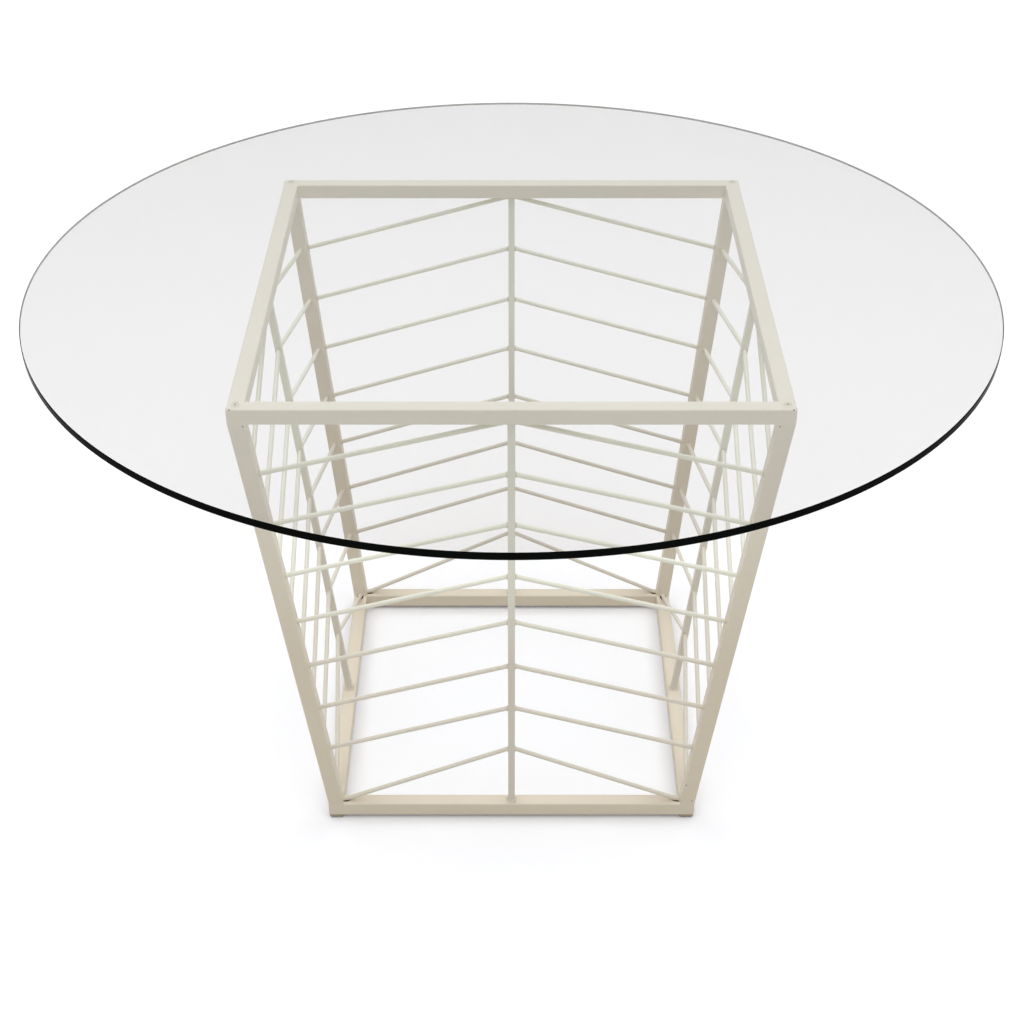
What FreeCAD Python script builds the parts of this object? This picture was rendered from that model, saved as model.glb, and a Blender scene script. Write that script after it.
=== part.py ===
import FreeCAD, Part
import os
import Sketcher

# Round glass table: a loose disc of glass on a tapered base of welded square tube, bar and round rod.
# Millimetres. The origin is on the floor under the middle of the table, +Z is up, the front is -Y.

DRIVING_SIZES = (
    # floor to the upper face of the glass
    ("table_height", 740),
    ("glass_diameter", 1300),
    ("glass_thickness", 10),
    # small flat ground off both rims of the glass
    ("glass_arris", 1),
    # clear pads between the frame and the glass
    ("bumper_diameter", 12),
    ("bumper_height", 2),
    # the frames are square, measured over their outer faces
    ("top_frame_width", 685),
    ("base_frame_width", 530),
    # square tube of the frames and the legs
    ("tube_width", 21),
    ("tube_wall", 1.5),
    ("tube_edge_bevel", 1),
    # square bar up the middle of each side panel, and the round rod on both sides of it
    ("centre_bar_width", 9.5),
    ("chevron_rod_diameter", 6.35),
    # top of the base frame up to the lowest joint of the chevron rods
    ("lowest_joint_rise", 110),
    # pads under the corners of the base frame
    ("foot_height", 6),
    ("foot_inset", 0.5),
    ("foot_edge_bevel", 2),
)
CHEVRON_LEVELS = 8
SIDES = ("front", "right", "back", "left")
CORNERS = ("front_right", "back_right", "back_left", "front_left")
QUARTER_TURN = 90
UP = FreeCAD.Vector(0, 0, 1)
PARALLEL_TOLERANCE = 1e-6

doc = FreeCAD.newDocument("glass_table")
sheet = doc.addObject("Spreadsheet::Sheet", "sizes")
derived = doc.addObject("App::VarSet", "derived")
nodes = []

for row, (alias, value) in enumerate(DRIVING_SIZES, start=1):
    sheet.set("A%d" % row, alias)
    sheet.set("B%d" % row, str(value))
    sheet.setAlias("B%d" % row, alias)
doc.recompute()


def derive(name, expression, kind="App::PropertyFloat"):
    """Keep a value that several pieces share, worked out from the driving sizes."""
    derived.addProperty(kind, name)
    derived.setExpression(name, expression)


# Levels above the floor.
derive("glass_underside", "sizes.table_height - sizes.glass_thickness")
derive("frame_top", "derived.glass_underside - sizes.bumper_height")
derive("panel_top", "derived.frame_top - sizes.tube_width")
derive("panel_foot", "sizes.foot_height + sizes.tube_width")
derive("panel_height", "derived.panel_top - derived.panel_foot")
# Distances of the tube's middle line from the table's axis.
derive("top_reach", "(sizes.top_frame_width - sizes.tube_width) / 2")
derive("base_reach", "(sizes.base_frame_width - sizes.tube_width) / 2")
# The side panels lean outwards from the base frame to the top frame.
derive("lean", "derived.top_reach - derived.base_reach")
derive("lean_angle", "atan(derived.lean / derived.panel_height)", "App::PropertyAngle")
derive("slope_length", "sqrt(derived.lean ^ 2 + derived.panel_height ^ 2)")
# Height from one pair of chevron rods to the next.
derive("chevron_pitch", f"(derived.panel_height - sizes.lowest_joint_rise) / {CHEVRON_LEVELS - 1}")
doc.recompute()


def add_node(piece, name, turn=0):
    """Name a finished piece and turn it about the table's axis to its side or corner."""
    piece.Label = name
    piece.Placement = FreeCAD.Placement(FreeCAD.Vector(), FreeCAD.Rotation(UP, turn))
    nodes.append(piece)


def new_sketch(body, name, plane_role, level="0"):
    """Sketch on one of the body's own origin planes, raised to a level."""
    sketch = body.newObject("Sketcher::SketchObject", name)
    plane = [feature for feature in body.Origin.OriginFeatures if feature.Role == plane_role][0]
    sketch.AttachmentSupport = [(plane, "")]
    sketch.MapMode = "FlatFace"
    sketch.setExpression("AttachmentOffset.Base.z", level)
    return sketch


def bind(sketch, kind, references, start_value, expression):
    """Add a constraint whose value follows an expression."""
    index = sketch.addConstraint(Sketcher.Constraint(kind, *references, start_value))
    sketch.setExpression("Constraints[%d]" % index, expression)


def draw_polygon(sketch, corners):
    """Closed outline through corners given as pairs of expressions, started as a unit polygon."""
    first = sketch.GeometryCount
    count = len(corners)
    points = [FreeCAD.Rotation(UP, 360 * i / count).multVec(FreeCAD.Vector(1, 0, 0)) for i in range(count)]
    for i in range(count):
        sketch.addGeometry(Part.LineSegment(points[i], points[(i + 1) % count]))
    for i in range(count):
        sketch.addConstraint(Sketcher.Constraint("Coincident", first + i, 2, first + (i + 1) % count, 1))
    for i, (across, along) in enumerate(corners):
        bind(sketch, "DistanceX", (-1, 1, first + i, 1), points[i].x, across)
        bind(sketch, "DistanceY", (-1, 1, first + i, 1), points[i].y, along)


def draw_square(sketch, left, low, side):
    """Square from its lower left corner."""
    right = f"{left} + {side}"
    high = f"{low} + {side}"
    draw_polygon(sketch, ((left, low), (right, low), (right, high), (left, high)))


def draw_tube_section(sketch, left, low):
    """Outer and inner squares of the tube, from the lower left corner of the outer one."""
    draw_square(sketch, left, low, "sizes.tube_width")
    bore = "sizes.tube_width - 2 * sizes.tube_wall"
    draw_square(sketch, f"{left} + sizes.tube_wall", f"{low} + sizes.tube_wall", bore)


def draw_circle(sketch, across, along, diameter):
    """Circle about a centre, started as a unit circle."""
    index = sketch.addGeometry(Part.Circle(FreeCAD.Vector(1, 1, 0), UP, 1))
    bind(sketch, "Diameter", (index,), 1, diameter)
    bind(sketch, "DistanceX", (-1, 1, index, 3), 1, across)
    bind(sketch, "DistanceY", (-1, 1, index, 3), 1, along)


def pad(body, sketch, length):
    """Raise a sketch into a solid."""
    feature = body.newObject("PartDesign::Pad", "pad")
    feature.Profile = sketch
    feature.setExpression("Length", length)
    return feature


def slant(feature, across, along):
    """Make a raised sketch lean, so that it drifts by these lengths over the height of a side panel."""
    feature.UseCustomVector = True
    feature.AlongSketchNormal = True
    feature.setExpression("Direction", f"vector({across}; {along}; derived.panel_height)")


def bevel(body, feature, size, wanted):
    """Chamfer the edges of a feature that pass a test."""
    doc.recompute()
    edges = ["Edge%d" % n for n, edge in enumerate(feature.Shape.Edges, start=1) if wanted(edge)]
    chamfer = body.newObject("PartDesign::Chamfer", "bevel")
    chamfer.Base = (feature, edges)
    chamfer.setExpression("Size", size)


def bevel_tube(body, feature, along):
    """Break the four long outer edges of a tube."""
    doc.recompute()
    middle = feature.Shape.BoundBox.Center
    between_walls = (sheet.tube_width - sheet.tube_wall) / 2 ** 0.5

    def is_outer_corner(edge):
        direction = edge.tangentAt(edge.FirstParameter)
        if direction.cross(along).Length > PARALLEL_TOLERANCE * along.Length:
            return False
        return edge.CenterOfMass.distanceToLine(middle, along) > between_walls

    bevel(body, feature, "sizes.tube_edge_bevel", is_outer_corner)


def make_rail(name, frame_width, underside, turn):
    """Front rail of a square frame: a length of tube along X, mitred at both ends."""
    body = doc.addObject("PartDesign::Body", "rail")
    half = f"{frame_width} / 2"
    section = new_sketch(body, "section", "YZ_Plane")
    draw_tube_section(section, f"-{half}", underside)
    bar = pad(body, section, frame_width)
    bar.SideType = "Symmetric"
    bevel_tube(body, bar, FreeCAD.Vector(1, 0, 0))
    # Each waste triangle lies beyond the 45 degree line through the frame's corner.
    waste = new_sketch(body, "mitres", "XY_Plane")
    far = f"({half} + sizes.tube_width)"
    near = f"({half} - 2 * sizes.tube_width)"
    for hand in ("", "-"):
        outside = (f"{hand}{far}", f"-{far}")
        behind = (f"{hand}{far}", f"-{near}")
        inside = (f"{hand}{near}", f"-{near}")
        draw_polygon(waste, (outside, behind, inside))
    mitres = body.newObject("PartDesign::Pocket", "mitre_cuts")
    mitres.Profile = waste
    mitres.Type = "ThroughAll"
    mitres.SideType = "Symmetric"
    add_node(body, name, turn)


def make_leg(name, turn):
    """Front right leg: tube between the frames, leaning alike in both directions, with level ends."""
    body = doc.addObject("PartDesign::Body", "leg")
    section = new_sketch(body, "section", "XY_Plane", "derived.panel_foot")
    half = "sizes.base_frame_width / 2"
    draw_tube_section(section, f"{half} - sizes.tube_width", f"-{half}")
    tube = pad(body, section, "derived.panel_height")
    slant(tube, "derived.lean", "-derived.lean")
    bevel_tube(body, tube, FreeCAD.Vector(derived.lean, -derived.lean, derived.panel_height))
    add_node(body, name, turn)


def make_centre_bar(name, turn):
    """Square bar up the middle of the front panel, leaning with it, with level ends."""
    body = doc.addObject("PartDesign::Body", "centre_bar")
    section = new_sketch(body, "section", "XY_Plane", "derived.panel_foot")
    half = "sizes.centre_bar_width / 2"
    draw_square(section, f"-{half}", f"-derived.base_reach - {half}", "sizes.centre_bar_width")
    slant(pad(body, section, "derived.panel_height"), "0", "-derived.lean")
    add_node(body, name, turn)


def make_foot(name, turn):
    """Front right pad between the base frame and the floor, its lower and upright edges bevelled."""
    body = doc.addObject("PartDesign::Body", "foot")
    outline = new_sketch(body, "outline", "XY_Plane")
    outer = "(sizes.base_frame_width / 2 - sizes.foot_inset)"
    side = "(sizes.tube_width - 2 * sizes.foot_inset)"
    draw_square(outline, f"{outer} - {side}", f"-{outer}", side)
    block = pad(body, outline, "sizes.foot_height")
    bevel(body, block, "sizes.foot_edge_bevel", lambda edge: edge.BoundBox.ZMin < sheet.foot_height / 2)
    add_node(body, name, turn)


def make_bumper(name, turn):
    """Clear pad on the front right corner of the top frame."""
    body = doc.addObject("PartDesign::Body", "bumper")
    outline = new_sketch(body, "outline", "XY_Plane", "derived.frame_top")
    draw_circle(outline, "derived.top_reach", "-derived.top_reach", "sizes.bumper_diameter")
    pad(body, outline, "sizes.bumper_height")
    add_node(body, name, turn)


def make_glass_top():
    """Round sheet of glass with a flat polished edge and a small arris on both rims."""
    body = doc.addObject("PartDesign::Body", "glass")
    rim = new_sketch(body, "rim", "XY_Plane", "derived.glass_underside")
    draw_circle(rim, "0", "0", "sizes.glass_diameter")
    disc = pad(body, rim, "sizes.glass_thickness")
    bevel(body, disc, "sizes.glass_arris", lambda edge: edge.isClosed())
    add_node(body, "glass_top")


def make_panel_window():
    """Clear space of the front panel to the right of the centre bar, which trims the rods to length."""
    window = doc.addObject("Part::Wedge", "window")
    depth_half = "sizes.top_frame_width / 2"
    limits = {
        "Xmin": "sizes.centre_bar_width / 2",
        "Xmax": "derived.base_reach - sizes.tube_width / 2",
        "X2min": "sizes.centre_bar_width / 2",
        "X2max": "derived.top_reach - sizes.tube_width / 2",
        "Ymin": "derived.panel_foot",
        "Ymax": "derived.panel_top",
        "Zmin": f"-{depth_half}",
        "Zmax": depth_half,
        "Z2min": f"-{depth_half}",
        "Z2max": depth_half,
    }
    for limit, expression in limits.items():
        window.setExpression(limit, expression)
    # The wedge stands on its own Y axis, so it is turned up to stand on Z.
    window.setExpression("Placement", "placement(vector(0; 0; 0); rotationx(90))")
    return window


def make_chevron_rods(level, window):
    """Right and left rods of one level of the front panel, from the centre bar down to the legs."""
    start = f"(derived.chevron_pitch * {level})"
    end = f"(derived.chevron_pitch * {level + 1})"
    if level == CHEVRON_LEVELS - 1:
        # The lowest pair runs down into the corners between legs and base frame.
        end = "derived.panel_height"
    run = f"(derived.top_reach - derived.lean * {end} / derived.panel_height - sizes.tube_width / 2)"
    fall = f"(({end} - {start}) * derived.slope_length / derived.panel_height)"
    reach = f"(derived.top_reach - derived.lean * {start} / derived.panel_height)"
    # Over-long stock that starts on the panel's middle line and swings down in the leaning plane.
    stock = doc.addObject("Part::Cylinder", "rod_stock")
    stock.setExpression("Radius", "sizes.chevron_rod_diameter / 2")
    stock.setExpression("Height", f"sqrt({run} ^ 2 + {fall} ^ 2) + sizes.tube_width / 2")
    place = f"vector(0; -{reach}; derived.panel_top - {start})"
    turn = f"rotationx(derived.lean_angle) * rotationy(90 deg + atan({fall} / {run}))"
    stock.setExpression("Placement", f"placement({place}; {turn})")
    right = doc.addObject("Part::Common", "right_rod")
    right.Base = stock
    right.Tool = window
    left = doc.addObject("Part::Mirroring", "left_rod")
    left.Source = right
    left.Normal = FreeCAD.Vector(1, 0, 0)
    return right, left


def make_side_panels():
    """Centre bar and pairs of chevron rods of the front panel, repeated on the other three sides."""
    window = make_panel_window()
    levels = [make_chevron_rods(level, window) for level in range(CHEVRON_LEVELS)]
    for i, side in enumerate(SIDES):
        turn = i * QUARTER_TURN
        make_centre_bar(f"centre_bar_{side}", turn)
        for number, rods in enumerate(levels, start=1):
            pair = doc.addObject("Part::Compound", "chevron")
            pair.Links = list(rods)
            add_node(pair, f"chevron_{side}_{number}", turn)


make_glass_top()
for i, side in enumerate(SIDES):
    make_rail(f"top_rail_{side}", "sizes.top_frame_width", "derived.panel_top", i * QUARTER_TURN)
    make_rail(f"base_rail_{side}", "sizes.base_frame_width", "sizes.foot_height", i * QUARTER_TURN)
for i, corner in enumerate(CORNERS):
    make_leg(f"leg_{corner}", i * QUARTER_TURN)
    make_foot(f"foot_{corner}", i * QUARTER_TURN)
    make_bumper(f"bumper_{corner}", i * QUARTER_TURN)
make_side_panels()
doc.recompute()

# Nothing is written unless every object and every piece came out sound.
failed = [item.Label for item in doc.Objects if "Invalid" in item.State or "Error" in item.State]
for node in nodes:
    if node.Shape.isNull() or not node.Shape.isValid() or not node.Shape.Solids:
        failed.append(node.Label)
if failed:
    raise RuntimeError("failed: " + ", ".join(failed))

os.makedirs("parts", exist_ok=True)
for node in nodes:
    node.Shape.exportStep(os.path.join("parts", node.Label + ".step"))
print(len(nodes), "pieces, volume", round(sum(node.Shape.Volume for node in nodes)), "cubic mm")
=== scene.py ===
# %% [markdown]
# A round glass table on a welded steel base: a sheet of clear glass lies loose on a
# square frame of steel tube, four leaning legs carry it down to a smaller frame, and
# thin rods fan out like chevrons over all four sides. The CAD model already holds the
# tubes, rods, bars and pads at their true places, so this lesson loads it as a fixed
# frame and adds what CAD leaves plain: finishes, welds, the edge of the glass and light.

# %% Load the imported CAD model
import math

import bmesh
import bpy
from mathutils import Matrix, Vector


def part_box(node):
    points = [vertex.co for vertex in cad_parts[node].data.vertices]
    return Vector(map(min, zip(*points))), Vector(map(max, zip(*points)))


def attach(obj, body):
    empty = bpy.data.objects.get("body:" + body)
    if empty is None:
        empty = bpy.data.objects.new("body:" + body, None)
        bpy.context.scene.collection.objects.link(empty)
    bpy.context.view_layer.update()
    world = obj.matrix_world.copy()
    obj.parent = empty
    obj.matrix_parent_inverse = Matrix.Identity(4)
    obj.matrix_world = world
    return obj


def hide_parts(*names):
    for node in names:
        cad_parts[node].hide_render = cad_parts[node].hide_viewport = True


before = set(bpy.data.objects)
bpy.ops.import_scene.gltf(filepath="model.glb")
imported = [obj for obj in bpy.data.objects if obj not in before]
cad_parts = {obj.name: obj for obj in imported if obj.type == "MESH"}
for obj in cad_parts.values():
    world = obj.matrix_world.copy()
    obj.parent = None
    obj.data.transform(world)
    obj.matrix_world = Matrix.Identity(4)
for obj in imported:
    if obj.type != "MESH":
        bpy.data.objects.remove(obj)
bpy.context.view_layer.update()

print("CAD nodes:", len(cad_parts))

# %% [markdown]
# Colours are easiest to choose as sRGB hex values, the way a paint chart or a picture
# editor gives them, but shader sockets work in linear light. One function turns the
# first into the second, one more adds a node, sets its options and links it, and a
# third starts a material with the values that are the same all over.

# %% Colour and node helpers
MM = 0.001


def colour(code):
    """The linear colour, with alpha, of an sRGB hex value."""
    steps = [int(code[i:i + 2], 16) / 255 for i in (1, 3, 5)]
    return tuple(s / 12.92 if s <= 0.04045 else ((s + 0.055) / 1.055) ** 2.4 for s in steps) + (1.0,)


def add_node(tree, kind, inputs, **options):
    """Add one node: options are its own settings, inputs its socket values or links."""
    made = tree.nodes.new(kind)
    for name, value in options.items():
        setattr(made, name, value)
    for socket, value in inputs.items():
        if isinstance(value, bpy.types.NodeSocket):
            tree.links.new(value, made.inputs[socket])
        else:
            made.inputs[socket].default_value = value
    return made


def new_material(name, **sockets):
    """A material with its one Principled shader and the values that are the same all over."""
    material = bpy.data.materials.new(name)
    material.use_nodes = True
    shader = material.node_tree.nodes["Principled BSDF"]
    for socket, value in sockets.items():
        shader.inputs[socket.replace("_", " ")].default_value = value
    return material, material.node_tree, shader


print("cream reads as", [round(c, 3) for c in colour("#FAF7EA")])

# %% [markdown]
# The steel is finished in cream powder coat: dry paint powder is sprayed on the welded
# base and baked until it flows. That leaves a satin skin with a faint orange peel, a
# few millimetres from bump to bump. The colour is painted lighter and cleaner towards
# the top and duller and warmer towards the foot. That is partly dust and scuffs low down,
# and partly painted light and shade, since the upper steel catches more light than the
# lower. Its depth also drifts a little where it is thinner. A noise for the drift, a finer
# one for the gloss and a bump for the peel keep it from looking like plain plastic. Over
# the welds some pinholes stay open, so that paint has them too.

# %% Cream powder coat
NOISE_SPAN = (0.3, 0.7)    # nearly all values of a noise lie between these
PEEL_MM = 2.5              # from bump to bump; the real peel is finer, but this is what still shows
PEEL_DEPTH = 0.2 * MM
DRIFT_MM = 130.0           # how far apart the thicker and thinner parts of the coat lie
DRIFT = 0.03               # how much darker the thinner parts are
SHEEN_MM = 9.0             # from a duller spot to the next
PINHOLE_MM = 3.5           # from pinhole to pinhole
PINHOLE_RIM = (0.10, 0.22)     # where a hole starts and ends to fade, as a share of that spacing
PINHOLE_DEPTH = 0.85


def powder_coat(name, clean_and_lit, dusty_and_shaded, heights, gloss=(0.36, 0.48), peel=0.10, pinholes=None):
    """Satin cream, lighter and cleaner up high and duller and warmer low down (partly dust, partly painted
    light and shade), changing between two heights in metres.
    """
    material, tree, shader = new_material(name)
    place = add_node(tree, "ShaderNodeTexCoord", {}).outputs["Object"]
    height = add_node(tree, "ShaderNodeSeparateXYZ", {"Vector": place})
    # Painted light and shade by height: the coat is lighter up high and darker and warmer low down, which is
    # partly dust.
    dust_and_shade_by_height = add_node(tree, "ShaderNodeMapRange",
                       {"Value": height.outputs["Z"], "From Min": heights[0], "From Max": heights[1],
                        "To Min": 1.0, "To Max": 0.0})
    coat = add_node(tree, "ShaderNodeMix",
                    {"Factor": dust_and_shade_by_height.outputs["Result"], "A": colour(clean_and_lit), "B": colour(dusty_and_shaded)},
                    data_type="RGBA")
    cloud = add_node(tree, "ShaderNodeTexNoise",
                     {"Vector": place, "Scale": 1 / (DRIFT_MM * MM), "Detail": 3.0, "Roughness": 0.55})
    depth = add_node(tree, "ShaderNodeMapRange",
                     {"Value": cloud.outputs["Fac"], "From Min": NOISE_SPAN[0], "From Max": NOISE_SPAN[1],
                      "To Min": 1.0 - DRIFT, "To Max": 1.0})
    shown = add_node(tree, "ShaderNodeVectorMath",
                     {0: coat.outputs["Result"], "Scale": depth.outputs["Result"]},
                     operation="SCALE").outputs["Vector"]
    if pinholes:
        cells = add_node(tree, "ShaderNodeTexVoronoi", {"Vector": place, "Scale": 1 / (PINHOLE_MM * MM)})
        hole = add_node(tree, "ShaderNodeMapRange",
                        {"Value": cells.outputs["Distance"], "From Min": PINHOLE_RIM[0],
                         "From Max": PINHOLE_RIM[1], "To Min": PINHOLE_DEPTH, "To Max": 0.0})
        shown = add_node(tree, "ShaderNodeMix",
                         {"Factor": hole.outputs["Result"], "A": shown, "B": colour(pinholes)},
                         data_type="RGBA").outputs["Result"]
    sheen = add_node(tree, "ShaderNodeTexNoise",
                     {"Vector": place, "Scale": 1 / (SHEEN_MM * MM), "Detail": 2.0})
    rough = add_node(tree, "ShaderNodeMapRange",
                     {"Value": sheen.outputs["Fac"], "From Min": NOISE_SPAN[0], "From Max": NOISE_SPAN[1],
                      "To Min": gloss[0], "To Max": gloss[1]})
    bumps = add_node(tree, "ShaderNodeTexNoise",
                     {"Vector": place, "Scale": 1 / (PEEL_MM * MM), "Detail": 1.0})
    skin = add_node(tree, "ShaderNodeBump",
                    {"Height": bumps.outputs["Fac"], "Strength": peel, "Distance": PEEL_DEPTH})
    tree.links.new(shown, shader.inputs["Base Color"])
    tree.links.new(rough.outputs["Result"], shader.inputs["Roughness"])
    tree.links.new(skin.outputs["Normal"], shader.inputs["Normal"])
    return material


TUBE_HEIGHTS = (0.32, 0.71)    # metres above the floor: below the first dull and shaded, above the second clean and lit
ROD_HEIGHTS = (0.28, 0.52)
# The broad faces of the tubes show the coat's warm tone best. The rods are painted paler and a
# little glossier, the paler tone being a painted highlight for the sheen on their tops; the
# welds are rougher, with dark specks.
tube_paint = powder_coat("cream_powder_coat_on_steel_tube", "#FAF7EA", "#E7DDCA", TUBE_HEIGHTS)
# The rods' paler clean tone is a painted highlight for the sheen on their tops.
rod_paint = powder_coat("cream_powder_coat_on_steel_rod", "#FDFFF2", "#E5DFD2", ROD_HEIGHTS,
                        gloss=(0.32, 0.44))
weld_paint = powder_coat("cream_powder_coat_over_weld", "#ECE6D6", "#E2DACA", ROD_HEIGHTS,
                         gloss=(0.34, 0.5), peel=0.3, pinholes="#85795F")
print("paints:", tube_paint.name, rod_paint.name, weld_paint.name)

# %% [markdown]
# Rails and legs are square tube, chevrons round rod and the centre bars square bar.
# Their CAD shapes are right, so they keep their meshes and only get the paint. The
# node's own name says which paint it takes.

# %% Paint the CAD steel
def finish_node(name, material):
    """Put a material on a CAD node, in place of any that it came with."""
    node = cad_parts[name]
    if node.material_slots:
        for place in node.material_slots:
            place.material = material
    else:
        node.data.materials.append(material)


painted = {"rail": tube_paint, "leg": tube_paint, "bar": rod_paint, "chevron": rod_paint}
count = 0
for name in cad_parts:
    for word, paint in painted.items():
        if word in name:
            finish_node(name, paint)
            count += 1
print("painted", count, "steel nodes")

# %% [markdown]
# Under each corner of the lower frame sits a square pad of moulded nylon, a shade
# darker than the paint, that keeps the steel off the floor. Moulded nylon is matt with
# a fine spark-eroded grain, and the pads are coloured darker towards the floor.

# %% Nylon foot pads
GRAIN_MM = 1.2           # coarser than the real grain, so that it shows
GRAIN_DEPTH = 0.2 * MM
GRAIN_STRENGTH = 0.25
DARK_HEIGHT = 5 * MM     # how high the darkening reaches up a pad
DARK_SHARE = 0.75              # the share of the darker tone at the floor
PAD_ROUGH = (0.55, 0.75)
# Matt beige, darker along the floor: it takes the light evenly, without a highlight.
pad_nylon, tree, shader = new_material("beige_nylon_moulded_matt", IOR=1.53)
place = add_node(tree, "ShaderNodeTexCoord", {}).outputs["Object"]
grain = add_node(tree, "ShaderNodeTexNoise", {"Vector": place, "Scale": 1 / (GRAIN_MM * MM), "Detail": 2.0})
height = add_node(tree, "ShaderNodeSeparateXYZ", {"Vector": place})
floor_darkening = add_node(tree, "ShaderNodeMapRange",
                {"Value": height.outputs["Z"], "From Min": 0.0, "From Max": DARK_HEIGHT,
                 "To Min": DARK_SHARE, "To Max": 0.0})
tone = add_node(tree, "ShaderNodeMix",
                {"Factor": floor_darkening.outputs["Result"], "A": colour("#B5A991"), "B": colour("#847A68")},
                data_type="RGBA")
rough = add_node(tree, "ShaderNodeMapRange",
                 {"Value": grain.outputs["Fac"], "From Min": NOISE_SPAN[0], "From Max": NOISE_SPAN[1],
                  "To Min": PAD_ROUGH[0], "To Max": PAD_ROUGH[1]})
skin = add_node(tree, "ShaderNodeBump",
                {"Height": grain.outputs["Fac"], "Strength": GRAIN_STRENGTH, "Distance": GRAIN_DEPTH})
tree.links.new(tone.outputs["Result"], shader.inputs["Base Color"])
tree.links.new(rough.outputs["Result"], shader.inputs["Roughness"])
tree.links.new(skin.outputs["Normal"], shader.inputs["Normal"])
feet = [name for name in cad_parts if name.startswith("foot_")]
for name in feet:
    finish_node(name, pad_nylon)
print("foot pads:", feet)

# %% [markdown]
# No real surface is one flat value. The glass, the bumpers, the pins and the dark brown
# of the pores and painted crevice shadows that follow let a soft pattern mix two close
# colours and move the roughness a little, so one helper sets up both.

# %% Helper for a mottled finish
def mottle(tree, shader, pattern, tones, gloss, span=NOISE_SPAN):
    """Let one pattern mix two close colours and move the roughness between two values."""
    tone = add_node(tree, "ShaderNodeMix",
                    {"Factor": pattern, "A": colour(tones[0]), "B": colour(tones[1])}, data_type="RGBA")
    rough = add_node(tree, "ShaderNodeMapRange",
                     {"Value": pattern, "From Min": span[0], "From Max": span[1],
                      "To Min": gloss[0], "To Max": gloss[1]})
    tree.links.new(tone.outputs["Result"], shader.inputs["Base Color"])
    tree.links.new(rough.outputs["Result"], shader.inputs["Roughness"])


print("a pattern is read between", *NOISE_SPAN)

# %% [markdown]
# The top is one disc of clear float glass. Its flat faces let nearly all the light
# through and mirror a little of the room, more so towards the far side where the eye
# meets them at a flatter angle. A glass shader alone would cast a shadow like a solid,
# so light on its way to the table below is let straight through.

# %% Clear float glass
def let_lamps_through(tree, shader, share):
    """Let light on its way to what lies behind the glass pass straight, less what the faces mirror."""
    path = add_node(tree, "ShaderNodeLightPath", {})
    lamp = add_node(tree, "ShaderNodeMath",
                    {0: path.outputs["Is Shadow Ray"], 1: path.outputs["Is Diffuse Ray"]},
                    operation="MAXIMUM")
    passing = add_node(tree, "ShaderNodeBsdfTransparent", {"Color": (share, share, share, 1.0)})
    both = add_node(tree, "ShaderNodeMixShader",
                    {0: lamp.outputs["Value"], 1: shader.outputs["BSDF"], 2: passing.outputs["BSDF"]})
    tree.links.new(both.outputs["Shader"], tree.nodes["Material Output"].inputs["Surface"])


WIPE_MM = 180.0            # the width of the marks that a cloth leaves
WIPE_SPAN = (0.35, 0.75)   # where in the noise a mark begins and is full
# Almost without colour, with faint wipe marks: it greys what lies under it a little.
clear_glass, tree, shader = new_material("clear_float_glass_polished", IOR=1.52, Transmission_Weight=1.0)
place = add_node(tree, "ShaderNodeTexCoord", {}).outputs["Object"]
wipe = add_node(tree, "ShaderNodeTexNoise", {"Vector": place, "Scale": 1 / (WIPE_MM * MM), "Detail": 4.0})
mottle(tree, shader, wipe.outputs["Fac"], tones=("#F8F7F7", "#F6F5F4"), gloss=(0.0, 0.012),
       span=WIPE_SPAN)
let_lamps_through(tree, shader, share=0.985)
print("glass:", clear_glass.name)

# %% [markdown]
# The edge of the sheet is another matter: there one looks the long way through the
# glass, and it looks almost black with a trace of green. That dark is painted shade: the
# edge gets an opaque near-black material of its own, on the same piece, in place of what
# the long path through the glass would give. It is ground and polished along its length,
# so the marks on it are long and low.

# %% Polished edge of the glass
GRIND_MM = 60.0         # the length of a grinding mark
GRIND_STRETCH = 40.0    # how many times longer than high a mark is
# Painted near-black and hardly mirroring: painted shade, so that the rim reads as one dark line.
glass_edge, tree, shader = new_material("float_glass_edge_polished_painted_dark", IOR=1.52,
                                        Specular_IOR_Level=0.006)
place = add_node(tree, "ShaderNodeTexCoord", {}).outputs["Object"]
marks = add_node(tree, "ShaderNodeMapping", {"Vector": place, "Scale": (1.0, 1.0, GRIND_STRETCH)})
grind = add_node(tree, "ShaderNodeTexNoise",
                 {"Vector": marks.outputs["Vector"], "Scale": 1 / (GRIND_MM * MM), "Detail": 3.0})
mottle(tree, shader, grind.outputs["Fac"], tones=("#0A0C0B", "#111412"), gloss=(0.06, 0.14))
print("glass edge:", glass_edge.name)

# %% [markdown]
# New pieces are modelled with the same operators as by hand. Operators act on whatever
# is selected, so one helper lets go of everything first, one selects parts of a mesh by
# a test on their place or normal, and one gives a finished piece its materials and its
# smooth shading.

# %% Modelling helpers
def fresh_start():
    """Leave edit mode and let go of everything, so that operators act only on what comes next."""
    if bpy.context.mode != "OBJECT":
        bpy.ops.object.mode_set(mode="OBJECT")
    bpy.ops.object.select_all(action="DESELECT")


def pick(piece, kind, test):
    """Select the faces, edges or verts of a piece in edit mode that pass a test."""
    bpy.ops.mesh.select_all(action="DESELECT")
    bpy.ops.mesh.select_mode(type={"faces": "FACE", "edges": "EDGE", "verts": "VERT"}[kind])
    shell = bmesh.from_edit_mesh(piece.data)
    for part in getattr(shell, kind):
        if test(part):
            part.select_set(True)
    bmesh.update_edit_mesh(piece.data)


def dress(piece, materials, smooth):
    """Give a piece its materials, and smooth shading where faces meet below an angle in degrees."""
    fresh_start()
    for material in materials:
        piece.data.materials.append(material)
    piece.select_set(True)
    bpy.context.view_layer.objects.active = piece
    bpy.ops.object.shade_smooth_by_angle(angle=math.radians(smooth))


print("ready to model")

# %% [markdown]
# The disc starts as a cylinder of many sides, at the CAD glass's size and place. The
# sharp corners are ground off on the real sheet, a narrow arris of about a millimetre,
# so both rims get a one-step bevel. The faces are then told apart by their normals, and
# all but the flat top and underside take the dark edge.

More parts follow.
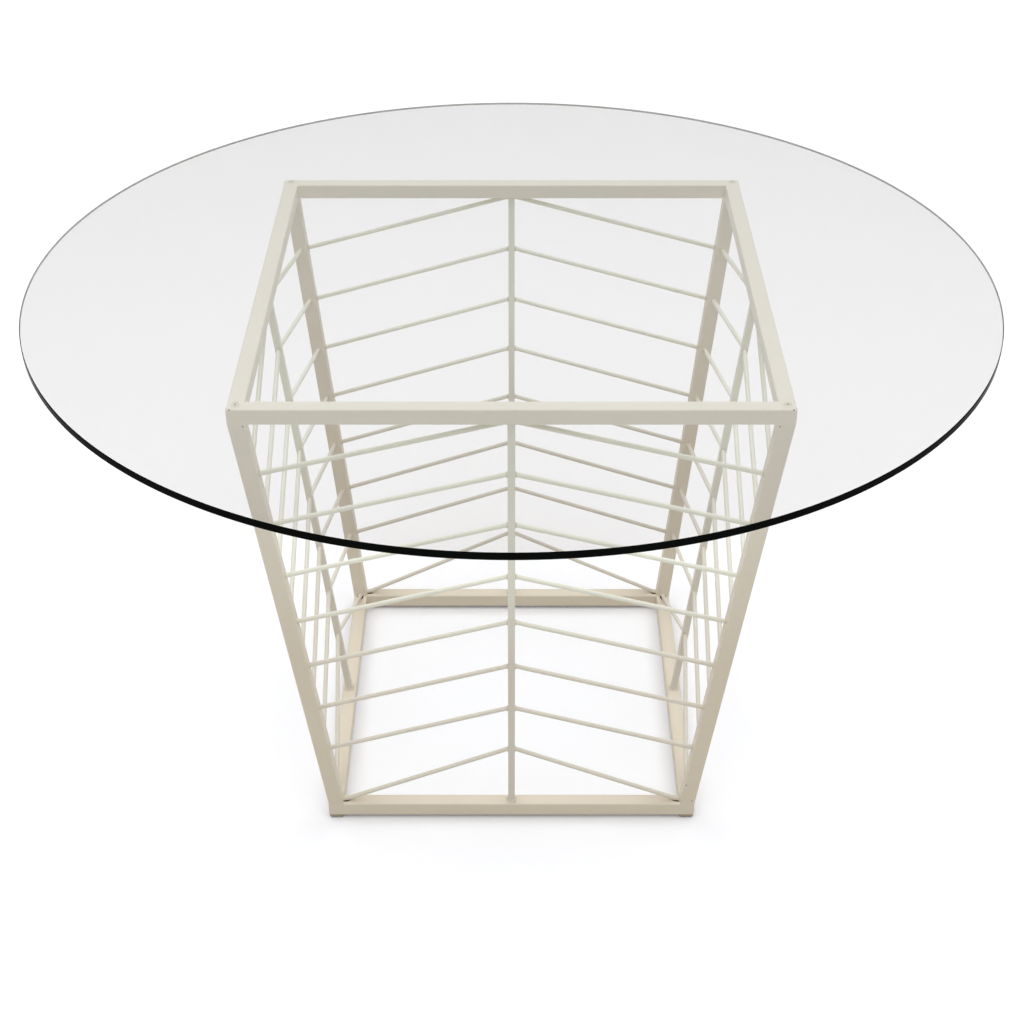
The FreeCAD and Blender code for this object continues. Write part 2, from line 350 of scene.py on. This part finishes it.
# %% Glass top
GLASS_SIDES = 288
ARRIS = 1 * MM
SAME = 1e-6         # metres; two places closer than this count as one
UPRIGHT = 0.9       # a normal that rises less than this belongs to the edge
low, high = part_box("glass_top")
glass_radius = (high.x - low.x) / 2
glass_thickness = high.z - low.z
glass_middle = (low + high) / 2
fresh_start()
bpy.ops.mesh.primitive_cylinder_add(vertices=GLASS_SIDES, radius=glass_radius, depth=glass_thickness,
                                    end_fill_type="TRIFAN", location=glass_middle)
glass = bpy.context.object
glass.name = "glass_sheet"
bpy.ops.object.transform_apply(location=True, rotation=True, scale=True)
bpy.ops.object.mode_set(mode="EDIT")
pick(glass, "edges", lambda e: abs(e.verts[0].co.z - e.verts[1].co.z) < SAME
     and all(v.co.xy.length > glass_radius - ARRIS / 10 for v in e.verts))
bpy.ops.mesh.bevel(offset=ARRIS, segments=1)
dress(glass, (clear_glass, glass_edge), smooth=25)
for face in glass.data.polygons:
    face.material_index = 1 if abs(face.normal.z) < UPRIGHT else 0
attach(glass, "glass")
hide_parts("glass_top")
print("glass radius", round(glass_radius, 4), "faces", len(glass.data.polygons))

# %% [markdown]
# Seen from inside, across the sheet, the far edge isn't black: the ground glass there
# scatters the light that comes in through it and shows as a soft grey line. That line is
# painted light: a thin opaque pale grey band just inside the edge stands in for the
# scattered light. It is a cylinder without caps that gets its thickness from a Solidify
# modifier.

# %% Painted-light lining of the glass edge
FROST_MM = 25.0            # the spread of a lighter or darker stretch
LINING_WALL = 0.3 * MM
LINING_INSET = 0.5 * MM    # how far inside the edge it stands
LINING_SHORT = 1.2 * MM    # how much lower than the sheet it is
# A soft pale grey without highlights: painted light in place of the glow of the ground edge.
edge_light_band, tree, shader = new_material("painted_light_band_inside_glass_edge", IOR=1.52,
                                        Specular_IOR_Level=0.1)
place = add_node(tree, "ShaderNodeTexCoord", {}).outputs["Object"]
grind = add_node(tree, "ShaderNodeTexNoise", {"Vector": place, "Scale": 1 / (FROST_MM * MM), "Detail": 3.0})
mottle(tree, shader, grind.outputs["Fac"], tones=("#C6C9C6", "#D4D6D4"), gloss=(0.5, 0.7))

fresh_start()
bpy.ops.mesh.primitive_cylinder_add(vertices=GLASS_SIDES, radius=glass_radius - LINING_INSET,
                                    depth=glass_thickness - LINING_SHORT, end_fill_type="NOTHING",
                                    location=glass_middle)
lining = bpy.context.object
lining.name = "glass_edge_lining"
bpy.ops.object.transform_apply(location=True, rotation=True, scale=True)
wall = lining.modifiers.new("wall", "SOLIDIFY")
wall.thickness = LINING_WALL
wall.offset = -1.0
bpy.ops.object.modifier_apply(modifier=wall.name)
dress(lining, (edge_light_band,), smooth=30)
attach(lining, "glass")
print("lining faces:", len(lining.data.polygons))

# %% [markdown]
# The glass lies loose on four clear bumpers, one on each corner of the upper frame.
# They are cast polyurethane: soft, clear and low, with a rounded shoulder, and each is
# held by a small pin whose dark head is all that shows through the glass.

# %% Bumper and pin materials
FLOW_MM = 6.0     # the spread of a streak in the cast
# Clear with a breath of yellow and a soft shine, so that the paint below shows through.
bumper_clear, tree, shader = new_material("clear_polyurethane_cast", IOR=1.41, Transmission_Weight=1.0)
place = add_node(tree, "ShaderNodeTexCoord", {}).outputs["Object"]
flow = add_node(tree, "ShaderNodeTexNoise", {"Vector": place, "Scale": 1 / (FLOW_MM * MM), "Detail": 1.0})
mottle(tree, shader, flow.outputs["Fac"], tones=("#FBFAF6", "#F4F2EC"), gloss=(0.05, 0.15))
let_lamps_through(tree, shader, share=0.95)

OXIDE_MM = 0.8    # the spread of a darker spot in the oxide
# Dark metal with hardly any shine: a small dark dot.
pin_steel, tree, shader = new_material("blackened_steel_pin_head", Metallic=1.0)
place = add_node(tree, "ShaderNodeTexCoord", {}).outputs["Object"]
oxide = add_node(tree, "ShaderNodeTexNoise", {"Vector": place, "Scale": 1 / (OXIDE_MM * MM), "Detail": 2.0})
mottle(tree, shader, oxide.outputs["Fac"], tones=("#2B2924", "#4A463C"), gloss=(0.45, 0.65))
print("bumper:", bumper_clear.name, "pin:", pin_steel.name)

# %% [markdown]
# One bumper is modelled at the origin from a short cylinder: the upper rim is bevelled
# to a round shoulder, and two insets with a small step down and up between them draw
# the hollow and the domed head of the pin.

# %% Model one bumper
BUMPER_SIDES = 32
SHOULDER = 0.8 * MM
PIN_RADIUS = 1.0 * MM
PIN_DEEP = 0.3 * MM     # how far the pin's hollow goes down
PIN_RIM = 0.25 * MM
PIN_DOME = 0.15 * MM    # how far the head rises again in the hollow
FLAT = 0.99             # a normal that rises more than this belongs to a level face
HEAD = 0.99             # of the pin's radius: what lies further in is its head, the wall round it stays clear
low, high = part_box("bumper_front_right")
bumper_radius = (high.x - low.x) / 2
bumper_height = high.z - low.z
fresh_start()
bpy.ops.mesh.primitive_cylinder_add(vertices=BUMPER_SIDES, radius=bumper_radius, depth=bumper_height,
                                    location=(0, 0, bumper_height / 2))
bumper = bpy.context.object
bpy.ops.object.transform_apply(location=True, rotation=True, scale=True)
bpy.ops.object.mode_set(mode="EDIT")
pick(bumper, "edges", lambda e: all(v.co.z > bumper_height - SAME for v in e.verts))
bpy.ops.mesh.bevel(offset=SHOULDER, segments=4)
pick(bumper, "faces", lambda f: f.normal.z > FLAT)
bpy.ops.mesh.inset(thickness=bumper_radius - SHOULDER - PIN_RADIUS)
bpy.ops.mesh.extrude_region_move(TRANSFORM_OT_translate={"value": (0, 0, -PIN_DEEP)})
bpy.ops.mesh.inset(thickness=PIN_RIM)
bpy.ops.transform.translate(value=(0, 0, PIN_DOME))
dress(bumper, (bumper_clear, pin_steel), smooth=40)
for face in bumper.data.polygons:
    on_head = face.center.xy.length < PIN_RADIUS * HEAD and face.center.z > bumper_height / 2
    face.material_index = 1 if on_head else 0
print("bumper faces:", len(bumper.data.polygons))

# %% [markdown]
# Each corner gets a copy with its own mesh, moved to where the CAD bumper is. A soft
# bumper gives a little under the sheet, so the copies are pressed down by a hair, which
# also keeps two clear faces from lying in one plane.

# %% Copy the bumpers to the corners
CORNERS = ("front_right", "back_right", "back_left", "front_left")
PRESSED = 0.1 * MM
for corner in CORNERS:
    low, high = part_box("bumper_" + corner)
    piece = bumper.copy()
    piece.data = bumper.data.copy()
    piece.name = "bumper_pad_" + corner
    bpy.context.collection.objects.link(piece)
    middle = (low + high) / 2
    piece.data.transform(Matrix.Translation((middle.x, middle.y, low.z - PRESSED)))
    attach(piece, "base")
    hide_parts("bumper_" + corner)
bpy.data.objects.remove(bumper)
print("bumpers on", CORNERS)

# %% [markdown]
# Every rod is welded at both ends, and under the paint each weld is a small collar
# that swells round the rod where it meets the bar or the leg. To place them, the
# panel's lines are measured from the CAD boxes: how far out the tubes' middle lines
# are at the top and the foot of a panel, and how far each rod pair drops.

# %% Measure the chevron panels
top_low, top_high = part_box("top_rail_front")
base_low, base_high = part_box("base_rail_front")
tube = top_high.z - top_low.z
panel_top = top_low.z
panel_foot = base_high.z
panel_height = panel_top - panel_foot
top_reach = -(top_low.y + top_high.y) / 2
base_reach = -(base_low.y + base_high.y) / 2
lean = (top_reach - base_reach) / panel_height
bar_low, bar_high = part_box("centre_bar_front")
bar = bar_high.x - bar_low.x
levels = sum(name.startswith("chevron_front_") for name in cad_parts)
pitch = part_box("chevron_front_2")[1].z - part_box("chevron_front_3")[1].z


def panel_point(x, drop):
    """A point of the front panel's middle plane, so far from the centre line and below the top."""
    return Vector((x, -(top_reach - lean * drop), panel_top - drop))


print("levels", levels, "pitch mm", round(pitch / MM, 2), "lean", round(lean, 4))

# %% [markdown]
# One collar is modelled and then copied over a hundred times, so it stays at a few
# dozen faces: a filled circle is extruded in three steps that narrow towards the rod,
# and its points are nudged a little, because a hand weld is never quite round. Each
# copy is sheared along its own rod and turned by a different angle.

# %% Model one weld collar
ROD_RADIUS = 3.175 * MM
COLLAR_SIDES = 14
COLLAR_FOOT = 1.35       # millimetres that the foot stands out round the rod
COLLAR_STEPS = ((0.9, 1.0), (0.8, 0.45), (1.0, -0.35))    # rise and new stand-out, in millimetres
COLLAR_WOBBLE = 0.28 * MM
COLLAR_LOOSE = (0.5 * MM, 2 * MM)    # the heights between which its points are nudged
fresh_start()
bpy.ops.mesh.primitive_circle_add(vertices=COLLAR_SIDES, radius=ROD_RADIUS + COLLAR_FOOT * MM,
                                  fill_type="NGON", location=(0, 0, 0))
collar = bpy.context.object
bpy.ops.object.mode_set(mode="EDIT")
bpy.ops.mesh.select_all(action="SELECT")
before = COLLAR_FOOT
for rise, width in COLLAR_STEPS:
    bpy.ops.mesh.extrude_region_move(TRANSFORM_OT_translate={"value": (0, 0, rise * MM)})
    shrink = (ROD_RADIUS + width * MM) / (ROD_RADIUS + before * MM)
    bpy.ops.transform.resize(value=(shrink, shrink, 1.0))
    before = width
pick(collar, "verts", lambda v: COLLAR_LOOSE[0] < v.co.z < COLLAR_LOOSE[1])
bpy.ops.transform.vertex_random(offset=COLLAR_WOBBLE, seed=4)
bpy.ops.mesh.select_all(action="SELECT")
bpy.ops.mesh.normals_make_consistent(inside=False)
dress(collar, (weld_paint,), smooth=60)
print("collar faces:", len(collar.data.polygons))

# %% [markdown]
# What is copied many times needs two helpers: one for the place of a collar, its foot on
# a face and its body along a rod, and one that makes the copies, each with its own mesh,
# and joins them into one piece. The four sides are the same, so places are worked out
# on the front and turned round the table's axis for the others.

# %% Helpers for repeated welds
SIDES = {"front": 0, "right": 90, "back": 180, "left": 270}


def turn_to(side):
    """The turn from the front of the table to another side."""
    return Matrix.Rotation(math.radians(SIDES[side]), 4, "Z")


def seat(at, out, along, turn):
    """Where a collar sits: its foot at a point, on a face that looks out, sheared along a rod."""
    out, along = out.normalized(), along.normalized()
    across = out.orthogonal().normalized()
    across.rotate(Matrix.Rotation(turn, 3, out))
    axes = Matrix((across, out.cross(across), along / along.dot(out))).transposed()
    return Matrix.Translation(at) @ axes.to_4x4()


def copy_to(pattern, places, name):
    """Copies of a pattern at each place, joined into one named piece."""
    fresh_start()
    copies = []
    for place in places:
        one = pattern.copy()
        one.data = pattern.data.copy()
        one.data.transform(place)
        bpy.context.collection.objects.link(one)
        one.select_set(True)
        copies.append(one)
    bpy.context.view_layer.objects.active = copies[0]
    bpy.ops.object.join()
    copies[0].name = name
    copies[0].data.name = name
    return copies[0]


print("sides:", list(SIDES))

# %% [markdown]
# A collar goes to each end of every rod: on the side of the centre bar, and on the inner
# face of the leg. The lowest pair runs all the way down into the corner of leg and rail.
# The collars of one side are joined into one piece.

# %% Copy the collars to the rod ends
SINK = 0.25 * MM     # how deep a weld's foot lies in the steel
GOLDEN = 2.39996     # a turn that never repeats, in radians
seats = []
for level in range(levels):
    for hand in (1, -1):
        end_drop = pitch * (level + 1) if level + 1 < levels else panel_height
        reach = top_reach - lean * end_drop - tube / 2
        start = panel_point(0.0, pitch * level)
        end = panel_point(hand * reach, end_drop)
        fall = end - start
        near_bar = start + fall * (bar / 2 / reach)
        out = Vector((hand, 0.0, 0.0))
        seats.append(seat(near_bar - out * SINK, out, fall, GOLDEN * len(seats)))
        out = Vector((-hand, 0.0, lean)).normalized()
        seats.append(seat(end - out * SINK, out, -fall, GOLDEN * len(seats)))
for side in SIDES:
    piece = copy_to(collar, [turn_to(side) @ place for place in seats], "weld_collars_" + side)
    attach(piece, "base")
bpy.data.objects.remove(collar)
print("collars on each side:", len(seats))

# %% [markdown]
# The centre bars are welded to the rails with a fuller bead, which shows on the lower
# rail as a smooth swelling round the bar's foot. It is drawn from a square with rounded
# corners, in rings that narrow towards the bar.

# %% Model one weld bead
BEAD_FOOT = 6.0           # millimetres that the foot is wider than the bar
BEAD_STEPS = ((0.6, 5.2), (0.9, 3.4), (1.3, 1.6), (2.0, 0.5), (1.0, -1.0))    # rise and new width
BEAD_CORNER = 4.5 * MM
BEAD_WOBBLE = 0.35 * MM
BEAD_LOOSE = (0.5 * MM, 4 * MM)    # the heights between which its points are nudged
fresh_start()
width = bar + BEAD_FOOT * MM
bpy.ops.mesh.primitive_plane_add(size=width, location=(0, 0, 0))
bead = bpy.context.object
bpy.ops.object.mode_set(mode="EDIT")
bpy.ops.mesh.select_all(action="SELECT")
bpy.ops.mesh.bevel(offset=BEAD_CORNER, segments=4, affect="VERTICES")
bpy.ops.mesh.select_all(action="SELECT")
for rise, wider in BEAD_STEPS:
    shrink = (bar + wider * MM) / width
    bpy.ops.mesh.extrude_region_move(TRANSFORM_OT_translate={"value": (0, 0, rise * MM)})
    bpy.ops.transform.resize(value=(shrink, shrink, 1.0))
    width = bar + wider * MM
pick(bead, "verts", lambda v: BEAD_LOOSE[0] < v.co.z < BEAD_LOOSE[1])
bpy.ops.transform.vertex_random(offset=BEAD_WOBBLE, seed=9)
bpy.ops.mesh.select_all(action="SELECT")
bpy.ops.mesh.normals_make_consistent(inside=False)
dress(bead, (weld_paint,), smooth=60)
print("bead faces:", len(bead.data.polygons))

# %% [markdown]
# The bead at a bar's foot is sheared so that it follows the leaning bar. The same bead,
# upside down and smaller, joins the bar's head to the upper rail.

# %% Copy the beads to the centre bars
HEAD_WIDTH = 0.8     # of the bead at the foot
HEAD_HEIGHT = 0.6
foot_at = panel_point(0.0, panel_height)
head_at = panel_point(0.0, 0.0)
follow = (head_at.y - foot_at.y) / panel_height
foot_shape = Matrix(((1, 0, 0, 0), (0, 1, follow, 0), (0, 0, 1, 0), (0, 0, 0, 1)))
head_shape = Matrix(((-HEAD_WIDTH, 0, 0, 0), (0, HEAD_WIDTH, -HEAD_HEIGHT * follow, 0),
                     (0, 0, -HEAD_HEIGHT, 0), (0, 0, 0, 1)))
ends = (Matrix.Translation(foot_at - Vector((0, 0, SINK))) @ foot_shape,
        Matrix.Translation(head_at + Vector((0, 0, SINK))) @ head_shape)
for side in SIDES:
    piece = copy_to(bead, [turn_to(side) @ place for place in ends], "weld_beads_bar_" + side)
    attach(piece, "base")
bpy.data.objects.remove(bead)
print("bar beads:", len(ends) * len(SIDES))

# %% [markdown]
# Where the lowest rods run into the corners between rail and leg, the narrow gap under
# each rod end lies in deep shade. That shade is painted: a dark brown sliver lies on both
# sides of each rod end. One sliver is a flattened sphere, drawn out to a point along the
# rod.

# %% Model one painted-shadow sliver
SCALE_MM = 1.5      # the spread of a darker spot in the dark brown
SLIVER_LENGTH = 11 * MM
SLIVER_WIDTH = 2.6 * MM
SLIVER_HEIGHT = 1.6 * MM
POINT_FROM = SLIVER_LENGTH / 5     # beyond this, from the middle, it narrows to a point
POINT_SHARE = (1.0, 0.4, 0.6)      # of its length, width and height there
# Dark brown and dull: on the slivers a painted shadow, a thin dark line in the corner;
# on the pores their own dark.
dark_brown_for_shadow_and_pores, tree, shader = new_material("dark_brown_painted_crevice_shadow_and_weld_pores", Specular_IOR_Level=0.15)
place = add_node(tree, "ShaderNodeTexCoord", {}).outputs["Object"]
patch = add_node(tree, "ShaderNodeTexNoise", {"Vector": place, "Scale": 1 / (SCALE_MM * MM), "Detail": 2.0})
mottle(tree, shader, patch.outputs["Fac"], tones=("#33281A", "#6A5A3C"), gloss=(0.6, 0.85))

fresh_start()
bpy.ops.mesh.primitive_uv_sphere_add(segments=10, ring_count=6, radius=0.5, location=(0, 0, 0),
                                     scale=(SLIVER_LENGTH, SLIVER_WIDTH, SLIVER_HEIGHT))
sliver = bpy.context.object
bpy.ops.object.transform_apply(location=True, rotation=True, scale=True)
bpy.ops.object.mode_set(mode="EDIT")
pick(sliver, "verts", lambda v: v.co.x > POINT_FROM)
bpy.ops.transform.resize(value=POINT_SHARE)
fresh_start()
sliver.data.materials.append(dark_brown_for_shadow_and_pores)
print("sliver faces:", len(sliver.data.polygons))

# %% [markdown]
# A sliver's blunt end lies against the leg, and its point runs in under the rod, so it
# stands at a slight angle to the rail. The four places at the front are turned to the
# other sides, and all slivers together are one piece.

# %% Copy the slivers to the lowest rod ends
BESIDE_LEG = 4.7 * MM    # how far from the rod's middle line the blunt end lies
BESIDE_ROD = 2.2 * MM    # and how far the point
leg_face = base_reach - tube / 2
lift = SLIVER_HEIGHT / 4
crevices = []
for hand in (1, -1):
    for flank in (1, -1):
        leg_end = panel_point(hand * leg_face, panel_height) + Vector((0, flank * BESIDE_LEG, lift))
        rod_end = panel_point(hand * (leg_face - SLIVER_LENGTH), panel_height)
        rod_end += Vector((0, flank * BESIDE_ROD, lift))
        along = rod_end - leg_end
        turned = Matrix.Rotation(math.atan2(along.y, along.x), 4, "Z")
        crevices.append(Matrix.Translation((leg_end + rod_end) / 2) @ turned)
places = [turn_to(side) @ crevice for side in SIDES for crevice in crevices]
# Painted shadow: the dark slivers stand for the shade in the corners under the lowest rod ends.
piece = copy_to(sliver, places, "painted_shadow_in_weld_crevices")
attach(piece, "base")
bpy.data.objects.remove(sliver)
print("bare crevices:", len(places))

# %% [markdown]
# A weld that cools quickly leaves a few gas pores, and the paint bridges them as tiny
# dark dots. One is a flat disc with a raised rim round a sunk middle, made by extrude
# and inset.

# %% Model one weld pore
PORE_SIDES = 9
PORE_RADIUS = 1.0 * MM
PORE_RIM = 0.12 * MM     # how far its rim stands over the paint
PORE_SINK = 0.07 * MM    # how far its middle lies below the rim
PORE_TAPER = 0.85        # the rim's width at the top, of that at the foot
PORE_LEDGE = PORE_RADIUS / 3     # how broad the rim is
fresh_start()
bpy.ops.mesh.primitive_circle_add(vertices=PORE_SIDES, radius=PORE_RADIUS, fill_type="NGON",
                                  location=(0, 0, -PORE_RIM))
pore = bpy.context.object
bpy.ops.object.transform_apply(location=True, rotation=True, scale=True)
bpy.ops.object.mode_set(mode="EDIT")
bpy.ops.mesh.select_all(action="SELECT")
bpy.ops.mesh.extrude_region_move(TRANSFORM_OT_translate={"value": (0, 0, 2 * PORE_RIM)})
bpy.ops.transform.resize(value=(PORE_TAPER, PORE_TAPER, 1.0))
bpy.ops.mesh.inset(thickness=PORE_LEDGE)
bpy.ops.transform.translate(value=(0, 0, -PORE_SINK))
bpy.ops.mesh.select_all(action="SELECT")
bpy.ops.mesh.normals_make_consistent(inside=False)
fresh_start()
pore.data.materials.append(dark_brown_for_shadow_and_pores)
print("pore faces:", len(pore.data.polygons))

# %% [markdown]
# On each side there are pores at the ends of the mitres, on the bevelled front edge of
# the upper frame, under the inner corners of rail and legs, and two low on one leg. The
# copies are turned so that each lies flat on the face that it marks.

# %% Copy the pores to the corners
IN_FROM_EDGE = 2.2 * MM        # from a leg's inner edge
BELOW_RAIL = 2.5 * MM
LOW_PORES = ((2.2, 41.0), (16.0, 7.0))    # from the inner edge and above the lower rail, in millimetres
FROM_MITRE = 4.3 * MM
EDGE_MIDDLE = 0.5 * MM         # the middle of the rails' 1 mm edge bevel, from either face


def lie_on(at, out):
    """A place at a point, with its axis out of the face there."""
    return Matrix.Translation(at) @ out.to_track_quat("Z", "Y").to_matrix().to_4x4()


def on_leg(hand, across, drop):
    """A place on a leg's front face, so far out from its inner edge and below the upper frame."""
    middle = top_reach - lean * drop
    at = Vector((hand * (middle - tube / 2 + across), -(middle + tube / 2), panel_top - drop))
    return lie_on(at, Vector((0, -1, -lean)))


frame_half = top_reach + tube / 2
pores = [on_leg(1, across * MM, panel_height - rise * MM) for across, rise in LOW_PORES]
for hand in (1, -1):
    pores.append(on_leg(hand, IN_FROM_EDGE, BELOW_RAIL))
    mitre_end = Vector((hand * (frame_half - FROM_MITRE), EDGE_MIDDLE - frame_half, top_high.z - EDGE_MIDDLE))
    pores.append(lie_on(mitre_end, Vector((0, -1, 1))))
places = [turn_to(side) @ place for side in SIDES for place in pores]
piece = copy_to(pore, places, "weld_pores")
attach(piece, "base")
bpy.data.objects.remove(pore)
print("weld pores:", len(places), "faces", len(piece.data.polygons))

# %% [markdown]
# Where a leg meets a frame corner, the weld is ground flush and painted over, so the
# tube walls run into each other without a notch. The rails' bevelled long edges would
# leave one, so each joint gets a thin square plate, its corners eased a little, that
# comes out to the outer faces.

# %% Dressed welds at the leg ends
PLATE = 1.0 * MM       # as thick as the rails' edge bevel
PROUD = 0.03 * MM      # the paint builds up a little over a dressed weld
PLATE_CORNER = 0.6 * MM
plate_width = tube + 2 * PROUD
fresh_start()
bpy.ops.mesh.primitive_cube_add(size=1.0, location=(0, 0, 0), scale=(plate_width, plate_width, PLATE))
plate = bpy.context.object
bpy.ops.object.transform_apply(location=True, rotation=True, scale=True)
bpy.ops.object.mode_set(mode="EDIT")
pick(plate, "edges", lambda e: abs(e.verts[0].co.z - e.verts[1].co.z) > PLATE / 2)
bpy.ops.mesh.bevel(offset=PLATE_CORNER, segments=2)
dress(plate, (tube_paint,), smooth=40)
places = []
for x in (1, -1):
    for y in (1, -1):
        places.append(Matrix.Translation((x * top_reach, y * top_reach, panel_top + PLATE / 2)))
        places.append(Matrix.Translation((x * base_reach, y * base_reach, panel_foot - PLATE / 2)))
dressed = copy_to(plate, places, "dressed_corner_welds")
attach(dressed, "base")
bpy.data.objects.remove(plate)
print("dressed welds:", len(places))

# %% [markdown]
# The floor is a plain white sweep. Where the camera, a mirror or glass looks at it, it is
# a clean white with a trace of emission, which lifts it to the picture's white and keeps
# the table's shadow. Straight to the camera that trace is cool, against the warm light
# that the cream steel throws on the floor. The light it throws back at the table is that
# of a floor a shade darker and warmer, so that the steel's undersides don't glow.

# %% White floor
FLOOR_SIZE = 200.0     # metres, so that its end is never in view
GLOW = 0.06
# Plain matt white, without any shine.
floor_white, tree, shader = new_material("matt_white_studio_floor", Roughness=0.9, Specular_IOR_Level=0.0)
path = add_node(tree, "ShaderNodeLightPath", {})
glow = add_node(tree, "ShaderNodeMix",
                {"Factor": path.outputs["Is Camera Ray"], "A": colour("#B9BABC"), "B": colour("#BCD0FF")},
                data_type="RGBA")
direct = add_node(tree, "ShaderNodeMath",
                  {0: path.outputs["Is Camera Ray"], 1: path.outputs["Is Glossy Ray"]}, operation="MAXIMUM")
seen = add_node(tree, "ShaderNodeMath",
                {0: direct.outputs["Value"], 1: path.outputs["Is Transmission Ray"]}, operation="MAXIMUM")
shade = add_node(tree, "ShaderNodeMix",
                 {"Factor": seen.outputs["Value"], "A": colour("#D8D5CE"), "B": colour("#FEFEFF")},
                 data_type="RGBA")
strength = add_node(tree, "ShaderNodeMath", {0: seen.outputs["Value"], 1: GLOW}, operation="MULTIPLY")
tree.links.new(glow.outputs["Result"], shader.inputs["Emission Color"])
tree.links.new(shade.outputs["Result"], shader.inputs["Base Color"])
tree.links.new(strength.outputs["Value"], shader.inputs["Emission Strength"])
fresh_start()
bpy.ops.mesh.primitive_plane_add(size=FLOOR_SIZE, location=(0, 0, 0))
floor = bpy.context.object
floor.name = "studio_floor"
floor.data.materials.append(floor_white)
print("floor:", floor.name)

# %% [markdown]
# The light is a plain soft studio. All round is a grey room, so that glass has something
# to mirror; near the horizon glass and mirrors show the white sweep instead, and the
# camera sees white everywhere behind the table.

# %% Grey room
SWEEP = (0.10, 0.28)     # the rise of a direction at which the white sweep starts and ends to fade
world = bpy.data.worlds.new("grey_studio_room")
bpy.context.scene.world = world
world.use_nodes = True
tree = world.node_tree
path = add_node(tree, "ShaderNodeLightPath", {})
seen = add_node(tree, "ShaderNodeMath",
                {0: path.outputs["Is Glossy Ray"], 1: path.outputs["Is Transmission Ray"]},
                operation="MAXIMUM")
way = add_node(tree, "ShaderNodeTexCoord", {})
rise = add_node(tree, "ShaderNodeSeparateXYZ", {"Vector": way.outputs["Generated"]})
sweep = add_node(tree, "ShaderNodeMapRange",
                 {"Value": rise.outputs["Z"], "From Min": SWEEP[0], "From Max": SWEEP[1],
                  "To Min": 1.0, "To Max": 0.0}, interpolation_type="SMOOTHSTEP")
mirrored = add_node(tree, "ShaderNodeMath",
                    {0: seen.outputs["Value"], 1: sweep.outputs["Result"]}, operation="MULTIPLY")
white = add_node(tree, "ShaderNodeMath",
                 {0: mirrored.outputs["Value"], 1: path.outputs["Is Camera Ray"]}, operation="MAXIMUM")
room = add_node(tree, "ShaderNodeMix",
                {"Factor": white.outputs["Value"], "A": colour("#8B8B8B"), "B": colour("#FFFFFF")},
                data_type="RGBA")
tree.links.new(room.outputs["Result"], tree.nodes["Background"].inputs["Color"])
print("room:", world.name)

# %% [markdown]
# One wide soft light overhead makes upward faces brighter than upright ones, as on the
# real table, and gives the soft shadow round the feet. Mirrors and glass don't show the
# lamp itself, so the top stays clear from every side.

# %% Overhead light
LAMP_WIDTH = 100      # degrees of the sky that it fills
LAMP_STRENGTH = 2.6
LAMP_HEIGHT = 3.4
fresh_start()
bpy.ops.object.light_add(type="SUN", location=(0.0, 0.0, LAMP_HEIGHT))
ceiling = bpy.context.object
ceiling.name = "overhead_soft_light"
ceiling.data.angle = math.radians(LAMP_WIDTH)
ceiling.data.energy = LAMP_STRENGTH
ceiling.visible_glossy = False
ceiling.visible_transmission = False
print("light:", ceiling.name, LAMP_STRENGTH, "W per square metre")

# %% [markdown]
# The camera stands in front of the table and looks down at a little over a third of a
# right angle, with a lens somewhat longer than normal.

# %% Camera
CAMERA_PLACE = (0.00069, -2.20675, 1.82804)
LOOK_DOWN = 33.645    # degrees below level
LENS_MM = 63.41
SENSOR_MM = 36.0
fresh_start()
bpy.ops.object.camera_add(location=CAMERA_PLACE, rotation=(math.radians(90 - LOOK_DOWN), 0.0, 0.0))
camera = bpy.context.object
camera.data.sensor_width = SENSOR_MM
camera.data.lens = LENS_MM
bpy.context.scene.camera = camera
bpy.context.scene.view_settings.view_transform = "Standard"
print("camera at", CAMERA_PLACE, "lens", LENS_MM)
